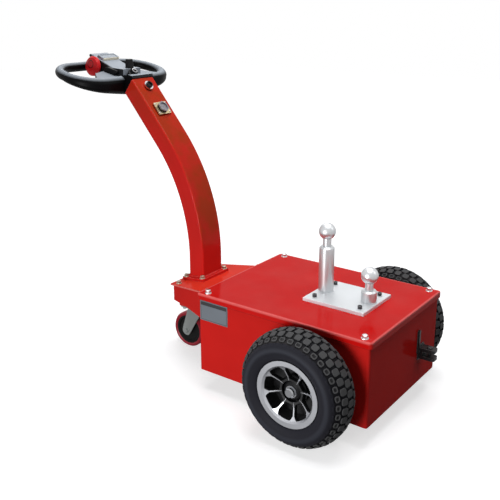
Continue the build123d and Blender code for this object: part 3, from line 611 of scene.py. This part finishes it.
# The drive wheels' bearings: a flanged bearing on each wall, cast and zinc plated, on four bolts. The black
# hub and its shaft turn in it, and a domed chromed nut holds the wheel on.
wheel_y = 0.29
wheel_radius = 0.1667
bearing_face_y, bearing_bolt_half = 0.228, 0.034
bearing_bolt_size = {"across": 0.013, "head": 0.006, "washer": 0.009}
bearing_steel = make_finish(
    "bearing_zinc", (0.3, 0.3, 0.31), 0.4, grain=(500.0, 0.00002), edge_tint=((0.7, 0.7, 0.7), 0.0006, 0.3),
    plain={"Metallic": 1.0},
)
coat_nodes(bearing_steel, "bearing_left", "bearing_right")
for side, name in ((1, "left"), (-1, "right")):
    bm = bmesh.new()
    for x in (-bearing_bolt_half, bearing_bolt_half):
        for z in (-bearing_bolt_half, bearing_bolt_half):
            foot = (axle_x + x, side * bearing_face_y, wheel_radius + z)
            add_hex_bolt(bm, foot, (0, side, 0), **bearing_bolt_size)
    finish_piece(f"bearing_bolts_{name}", bm, bright_zinc, "chassis")
hub_black = make_finish(
    "hub_black", (0.006, 0.006, 0.007), 0.35, grain=(300.0, 0.00002), edge_tint=((0.1, 0.1, 0.1), 0.0006, 0.35),
    plain={"Specular IOR Level": 0.15},
)
coat_nodes(hub_black, "wheel_hub_left", "wheel_hub_right")
nut_chrome = make_finish(
    "nut_chrome", (0.42, 0.43, 0.45), 0.24, grain=(500.0, 0.000004), edge_tint=((0.6, 0.6, 0.62), 0.0005, 0.2),
    plain={"Metallic": 1.0},
)
coat_nodes(nut_chrome, "hub_cap_left", "hub_cap_right")

# The rims: dished castings in gloss black. Their outer ring and the ridges of their eight spokes are
# machined bright, and only where a cutter would reach them.

# Round an axis: how far a point is from it, and how far along it
round_axis, given, out = new_group(
    "round_axis", (("Centre", (0.0, 0.0, 0.0)), ("Axis", (0.0, 0.0, 1.0))), ("Radius", "Height")
)
arm = calculate_vector(round_axis, "SUBTRACT", object_place(round_axis), given["Centre"])
from_axis = calculate_vector(round_axis, "CROSS_PRODUCT", arm, given["Axis"])
round_axis.links.new(calculate_vector(round_axis, "LENGTH", from_axis), out.inputs["Radius"])
round_axis.links.new(calculate_vector(round_axis, "DOT_PRODUCT", arm, given["Axis"]), out.inputs["Height"])


def round_wheel(tree, side):
    """The radius and the outward height of a point about a drive wheel's centre."""
    sockets = {"Centre": (axle_x, side * wheel_y, wheel_radius), "Axis": (0.0, side, 0.0)}
    return use_group(tree, round_axis, sockets)


spokes, spoke_turn_degrees = 8, 13.5
# radius from and to, and the half width of the bright ridge there
ridge_half = (0.031, 0.07, 0.0004, 0.0022)
flare_half = (0.066, 0.078, 0.0, 0.04)
# radius from and to, and the dish's height out from the wheel's middle there, in two parts that add up
inner_dish = (0.0305, 0.062, 0.025, 0.0342)
outer_dish = (0.062, 0.08, 0.0, 0.0108)
rim_black = (0.006, 0.006, 0.007)
for side, name in ((1, "left"), (-1, "right")):
    rim_finish = make_finish(
        f"rim_finish_{name}", (0.51, 0.52, 0.555), 0.34, drift=0.1, grain=(700.0, 0.000006),
        plain={"Metallic": 0.9},
    )
    tree = rim_finish.node_tree
    wheel = round_wheel(tree, side)
    outward = calculate_vector(tree, "DOT_PRODUCT", true_normal(tree), (0.0, side, 0.0))
    faces_out = calculate(tree, "GREATER_THAN", outward, 0.25)
    arm = calculate_vector(tree, "SUBTRACT", object_place(tree), (axle_x, 0.0, wheel_radius))
    parts = parts_of(tree, arm)
    angle = calculate(tree, "ARCTAN2", parts["Z"], parts["X"])
    turn = calculate(tree, "ADD", angle, side * radians(spoke_turn_degrees))
    from_spoke = calculate(tree, "ABSOLUTE", calculate(tree, "WRAP", turn, pi / spokes, -pi / spokes))
    off_middle = calculate(tree, "MULTIPLY", from_spoke, wheel["Radius"])
    ridge, flare, inner_face, outer_face = [
        remap(tree, wheel["Radius"], *steps) for steps in (ridge_half, flare_half, inner_dish, outer_dish)
    ]
    on_ridge = calculate(tree, "LESS_THAN", off_middle, calculate(tree, "MAXIMUM", ridge, flare))
    face_height = calculate(tree, "ADD", inner_face, outer_face)
    at_face = calculate(tree, "GREATER_THAN", wheel["Height"], face_height)
    machined = calculate(tree, "MULTIPLY", calculate(tree, "MULTIPLY", faces_out, at_face), on_ridge)
    bright = fed_by(rim_finish, "Base Color")
    feed(rim_finish, {
        "Base Color": mix_colour(tree, machined, colour_of(rim_black), bright),
        "Metallic": calculate(tree, "MULTIPLY", machined, 0.9),
    })
    coat_nodes(rim_finish, f"rim_{name}")

# The turf tyres: moulded rubber, with a rim guard and rings on the side wall, and a pale painted highlight
# round the side wall's bulge. Their crown is round: three rows of blocks stand on it, then on each shoulder
# a row of small ringed knobs and one of bars.
tyre_section = (
    # offset from the wheel's middle plane and radius, in mm, from bead to crown
    (42, 82), (43.5, 93), (45, 95.6), (48.5, 97.2), (52.5, 102), (55.8, 109), (58, 116), (59, 119.5),
    (59.9, 121.5), (59.9, 126), (59.2, 128), (58.9, 132), (57.6, 136.2), (55, 139.6), (52, 142), (48, 144.2),
    (44, 146.6), (38, 150.6), (34, 153.3), (28, 156.5), (24, 158.2), (14, 160.8), (0, 162),
)
tread_rows = (
    # offset and radius of the top in mm, tilt in degrees, half pitch lead, half length, half width, corner
    (0, 166.4, 0, 0, 9.6, 11.4, 4.2),
    (23.6, 162.9, 20, 1, 9.4, 9.4, 4.4), (-23.6, 162.9, -20, 1, 9.4, 9.4, 4.4),
    (41.4, 152.9, 37.5, 0, 8.6, 7.0, 4.6), (-41.4, 152.9, -37.5, 0, 8.6, 7.0, 4.6),
    (51.6, 143.3, 48, 0, 6.6, 2.4, 1.8), (-51.6, 143.3, -48, 0, 6.6, 2.4, 1.8),
)
ringed_row_offset = 41.4
ring_width, ring_edge, ring_sink = 0.0022, 0.0006, 0.0022
blocks_round, first_block_degrees = 38, 7.95
block_depth = 0.009
block_edge, block_fall = 0.0009, 0.0006
turned_steps = 114
crown_middle = 0.0987
crown_tops, beyond_shoulder = (0.0655, 0.067), (0.1455, 0.1465)
side_wall_end = 0.1445
bulge_radius, bulge_highlight_fade = 0.1265, (0.009, 0.002, 0.0, 0.5)
tread_grey, wall_black, bulge_highlight_grey = (0.062, 0.062, 0.064), (0.014, 0.014, 0.019), (0.04, 0.043, 0.055)
for side, name in ((1, "left"), (-1, "right")):
    rubber = make_finish(
        f"tyre_rubber_{name}", (0.006, 0.006, 0.008), 0.6, drift=0.3, grain=(420.0, 0.00006),
        top_film=(grey_dust, 0.05, 0.0, 0.9), plain={"Specular IOR Level": 0.08},
    )
    tree = rubber.node_tree
    wheel = round_wheel(tree, side)
    rise = calculate(tree, "SUBTRACT", wheel["Radius"], crown_middle)
    squares = [
        calculate(tree, "POWER", calculate(tree, "ABSOLUTE", value), 2.0)
        for value in (rise, wheel["Height"])
    ]
    from_crown = calculate(tree, "SQRT", calculate(tree, "ADD", *squares))
    on_tread = remap(tree, wheel["Radius"], *beyond_shoulder)
    on_tops = calculate(tree, "MULTIPLY", remap(tree, from_crown, *crown_tops), on_tread)
    tint_where(rubber, on_tops, tread_grey)
    tint_where(rubber, calculate(tree, "LESS_THAN", wheel["Radius"], side_wall_end), wall_black)
    # a pale ring over the side wall's bulge is a painted highlight
    off_bulge = calculate(tree, "ABSOLUTE", calculate(tree, "SUBTRACT", wheel["Radius"], bulge_radius))
    tint_where(rubber, remap(tree, off_bulge, *bulge_highlight_fade), bulge_highlight_grey)

    centre = Vector((axle_x, side * wheel_y, wheel_radius))
    bm = bmesh.new()
    outline = list(tyre_section) + [(-offset, radius) for offset, radius in reversed(tyre_section[:-1])]
    ring = [bm.verts.new(centre + Vector((0, offset / 1000, radius / 1000))) for offset, radius in outline]
    edges = [bm.edges.new(pair) for pair in zip(ring, ring[1:] + ring[:1])]
    bmesh.ops.spin(
        bm, geom=ring + edges, cent=centre, axis=(0, 1, 0), angle=2 * pi, steps=turned_steps, use_merge=True
    )
    bmesh.ops.remove_doubles(bm, verts=bm.verts, dist=1e-6)
    for offset, radius, tilt, lead, *size in tread_rows:
        half_length, half_width, corner = [value / 1000 for value in size]
        row = bmesh.new()
        made = bmesh.ops.create_cube(row, size=1.0)
        bmesh.ops.translate(row, verts=made["verts"], vec=(0, 0, -0.5))
        bmesh.ops.scale(row, verts=made["verts"], vec=(2 * half_length, 2 * half_width, block_depth))
        upright = [
            edge for edge in row.edges if abs(edge.verts[0].co.z - edge.verts[1].co.z) > block_depth / 2
        ]
        bmesh.ops.bevel(
            row, geom=upright, offset=corner, affect="EDGES", segments=2, profile=0.5, material=-1
        )
        row.normal_update()
        crown = max(row.faces, key=lambda face: face.normal.z)
        bmesh.ops.translate(row, verts=crown.verts[:], vec=(0, 0, -block_fall))
        step_in(row, crown, block_edge, block_fall)
        if abs(offset) == ringed_row_offset:
            step_in(row, crown, ring_width, 0.0)
            step_in(row, crown, ring_edge, -ring_sink)
        lean = Matrix.Rotation(radians(-tilt), 4, "X")
        stand = Matrix.Translation((0, offset / 1000, radius / 1000)) @ lean
        first = Matrix.Rotation(radians(first_block_degrees) + lead * pi / blocks_round, 4, "Y")
        bmesh.ops.transform(row, matrix=Matrix.Translation(centre) @ first @ stand, verts=row.verts)
        bmesh.ops.spin(
            row, geom=row.verts[:] + row.edges[:] + row.faces[:], cent=centre, axis=(0, 1, 0),
            angle=2 * pi * (blocks_round - 1) / blocks_round, steps=blocks_round - 1,
            use_duplicate=True,
        )
        row_mesh = bpy.data.meshes.new("tread_row")
        row.to_mesh(row_mesh)
        row.free()
        bm.from_mesh(row_mesh)
        bpy.data.meshes.remove(row_mesh)
    bmesh.ops.recalc_face_normals(bm, faces=bm.faces)
    tyre = finish_piece(f"turf_tyre_{name}", bm, rubber, f"wheel_{name}", smooth=30.0)
    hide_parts(f"tyre_{name}")

# The front caster: a pressed and plated fork on a ball race, bolted under the bracket, with a dark red
# polyurethane tread cast on a black nylon hub.
zinc_pressing = make_finish(
    "zinc_pressing", (0.37, 0.39, 0.385), 0.42, drift=0.2, grain=(400.0, 0.00003),
    edge_tint=((0.4, 0.4, 0.42), 0.0008, 0.3), plain={"Metallic": 0.85},
)
coat_nodes(zinc_pressing, "caster_plate", "caster_fork", "caster_bolt")
red_tread = make_finish(
    "red_polyurethane", (0.3, 0.006, 0.02), 0.4, drift=0.25, grain=(200.0, 0.00003),
    top_film=(grey_dust, 0.06, 0.0, 0.85), plain={"Specular IOR Level": 0.4},
)
coat_nodes(red_tread, "caster_tread")
hub_nylon = make_finish(
    "hub_nylon", (0.006, 0.006, 0.006), 0.55, grain=(300.0, 0.00004), plain={"Specular IOR Level": 0.15},
)
coat_nodes(hub_nylon, "caster_hub")
foot_low, foot_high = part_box("caster_plate")
foot_bolt_inset, foot_plate_thick = 0.012, 0.005
bm = bmesh.new()
for x in (foot_low.x + foot_bolt_inset, foot_high.x - foot_bolt_inset):
    for y in (foot_low.y + foot_bolt_inset, foot_high.y - foot_bolt_inset):
        add_hex_bolt(bm, (x, y, foot_high.z - foot_plate_thick), (0, 0, -1))
finish_piece("caster_plate_bolts", bm, bright_zinc, "chassis")

# The key switch and charging socket on the mast: a chromed collar round a black barrel, and a hexagon
# socket on a passivated plate held by four small screws.
mast_lean = radians(40.0)
mast_up = Vector((-cos(mast_lean), 0.0, sin(mast_lean)))
mast_down = Vector((-sin(mast_lean), 0.0, -cos(mast_lean)))
mast_top = Vector((axle_x + 0.808, 0.0, 0.9145))
key_centre = mast_top + mast_down * 0.035
key_barrel_radius = 0.0114
socket_centre = mast_top + mast_down * 0.125
socket_collar_height = 0.0085
socket_screw_y, socket_screw_down, socket_plate_thick = 0.0235, 0.017, 0.003
socket_screw_size = {"radius": 0.0028, "head": 0.0018, "key": 0.0013}


def make_two_tone(name, centre, axis, first, second, measure, limit):
    """A finish that changes where the radius or height about an axis passes a limit.

    first and second are (colour, roughness, metallic).
    """
    (colour, roughness, metal), (other, other_roughness, other_metal) = first, second
    finish = make_finish(
        name, colour, roughness, grain=(700.0, 0.000006), plain={"Specular IOR Level": 0.15}
    )
    tree = finish.node_tree
    measured = use_group(tree, round_axis, {"Centre": centre, "Axis": axis})[measure]
    mask = calculate(tree, "GREATER_THAN", measured, limit)
    tint_where(finish, mask, other)
    feed(finish, {
        "Roughness": mix_value(tree, mask, fed_by(finish, "Roughness"), other_roughness),
        "Metallic": remap(tree, mask, 0.0, 1.0, metal, other_metal),
    })
    return finish


black_moulding = ((0.006, 0.006, 0.007), 0.45, 0.0)
chromed = ((0.75, 0.75, 0.77), 0.15, 1.0)
dark_nickel = ((0.22, 0.21, 0.23), 0.4, 0.6)
key_finish = make_two_tone(
    "key_switch_finish", key_centre, mast_up, black_moulding, chromed, "Radius", key_barrel_radius
)
coat_nodes(key_finish, "key_switch")
socket_finish = make_two_tone(
    "socket_finish", socket_centre, mast_up, black_moulding, dark_nickel, "Height", socket_collar_height
)
coat_nodes(socket_finish, "charge_socket")
passivated = make_finish(
    "passivated_plate", (0.62, 0.5, 0.3), 0.35, drift=0.3, grain=(500.0, 0.00001),
    edge_tint=((0.8, 0.7, 0.5), 0.0006, 0.25), plain={"Metallic": 0.9},
)
coat_nodes(passivated, "socket_plate")
bm = bmesh.new()
for y in (-socket_screw_y, socket_screw_y):
    for down in (socket_screw_down, -socket_screw_down):
        foot = socket_centre + mast_up * socket_plate_thick + mast_down * down + Vector((0, y, 0))
        add_cap_screw(bm, foot, mast_up, **socket_screw_size)
finish_piece("socket_screws", bm, bright_zinc, "chassis")

# The head: a bow handle moulded round a tube, a neck over the mast's end and the control module, all in
# charcoal plastic with a fine satin grain. A bluish grey painted sheen lies on their tops, and the module's
# faces turned back are tinted grey. The small controls are gloss black, red and chrome.
# the bluish grey film on the tops of the bow and neck is a painted sheen
satin_grip = make_finish(
    "charcoal_grip", (0.002, 0.002, 0.0025), 0.4, drift=0.2, grain=(1100.0, 0.00002),
    top_film=((0.38, 0.42, 0.47), 0.85, 0.88, 0.5), plain={"Specular IOR Level": 0.06},
)
coat_nodes(satin_grip, "bow_handle", "head_neck")
# the bluish grey film on the module's tops is a painted sheen
module_plastic = make_finish(
    "module_plastic", (0.012, 0.013, 0.015), 0.4, drift=0.15, grain=(900.0, 0.00002),
    top_film=((0.4, 0.44, 0.5), 0.9, 0.85, 0.5), plain={"Specular IOR Level": 0.2},
)
rear_grey = (0.2, 0.22, 0.25)
tree = module_plastic.node_tree
forward = parts_of(tree, true_normal(tree))["X"]
tint_where(module_plastic, remap(tree, forward, -0.7, -0.9), rear_grey)
coat_nodes(module_plastic, "control_module")
gloss_black = make_finish(
    "gloss_black_moulding", (0.004, 0.004, 0.005), 0.35, grain=(300.0, 0.000006),
    plain={"Specular IOR Level": 0.12},
)
coat_nodes(gloss_black, "throttle_left", "throttle_right", "horn_lever")

# The stop button: a red mushroom moulding pressed on its stem at the module's near side, with a dark ring
# painted round its face.
button_centre = Vector((axle_x + 0.986, 0.0, 0.943))
button_lean = radians(8.0)
button_axis = Vector((0.0, cos(button_lean), sin(button_lean)))
dark_ring_radius, dark_ring_fade = 0.0125, (0.0022, 0.0008)
dark_ring_red = (0.16, 0.003, 0.005)
button_red = make_finish(
    "button_red", (0.62, 0.014, 0.018), 0.3, drift=0.08, grain=(300.0, 0.000006),
    plain={"Coat Weight": 0.12, "Coat Roughness": 0.15, "Specular IOR Level": 0.1},
)
tree = button_red.node_tree
turned = use_group(tree, round_axis, {"Centre": button_centre, "Axis": button_axis})
off_dark_ring = calculate(tree, "ABSOLUTE", calculate(tree, "SUBTRACT", turned["Radius"], dark_ring_radius))
tint_where(button_red, remap(tree, off_dark_ring, *dark_ring_fade), dark_ring_red)
coat_nodes(button_red, "stop_button")

# The status display: a cream moulded bezel let into the module's sloping top, with a grey window over it.
display_face = Vector((axle_x + 0.9585, 0.0, 0.9626))
slope_up = Vector((0.931, 0.0, 0.365))
cream_bezel, grey_window = ((0.85, 0.78, 0.62), 0.3, 0.0), ((0.3, 0.33, 0.37), 0.4, 0.0)
window_height = 0.0012
display_cream = make_two_tone(
    "display_window", display_face, slope_up, cream_bezel, grey_window, "Height", window_height
)
coat_nodes(display_cream, "status_display")

# The speed knob: a black moulding on a short stem beside the mast's end, with one thin chromed ring let
# into its face.
knob_lean = radians(40.0)
knob_axis = Vector((-sin(knob_lean), 0.0, cos(knob_lean)))
knob_foot = Vector((axle_x + 0.845, 0.011, 0.9225))
knob_face_height = 0.0135
knob_ring_radius, knob_ring_half = 0.0083, 0.0008
knob_finish = make_two_tone(
    "speed_knob_finish", knob_foot, knob_axis, black_moulding, chromed, "Height", knob_face_height
)
tree = knob_finish.node_tree
turned = use_group(tree, round_axis, {"Centre": knob_foot, "Axis": knob_axis})
off_ring = calculate(tree, "ABSOLUTE", calculate(tree, "SUBTRACT", turned["Radius"], knob_ring_radius))
tint_where(knob_finish, calculate(tree, "GREATER_THAN", off_ring, knob_ring_half), black_moulding[0])
coat_nodes(knob_finish, "speed_knob")
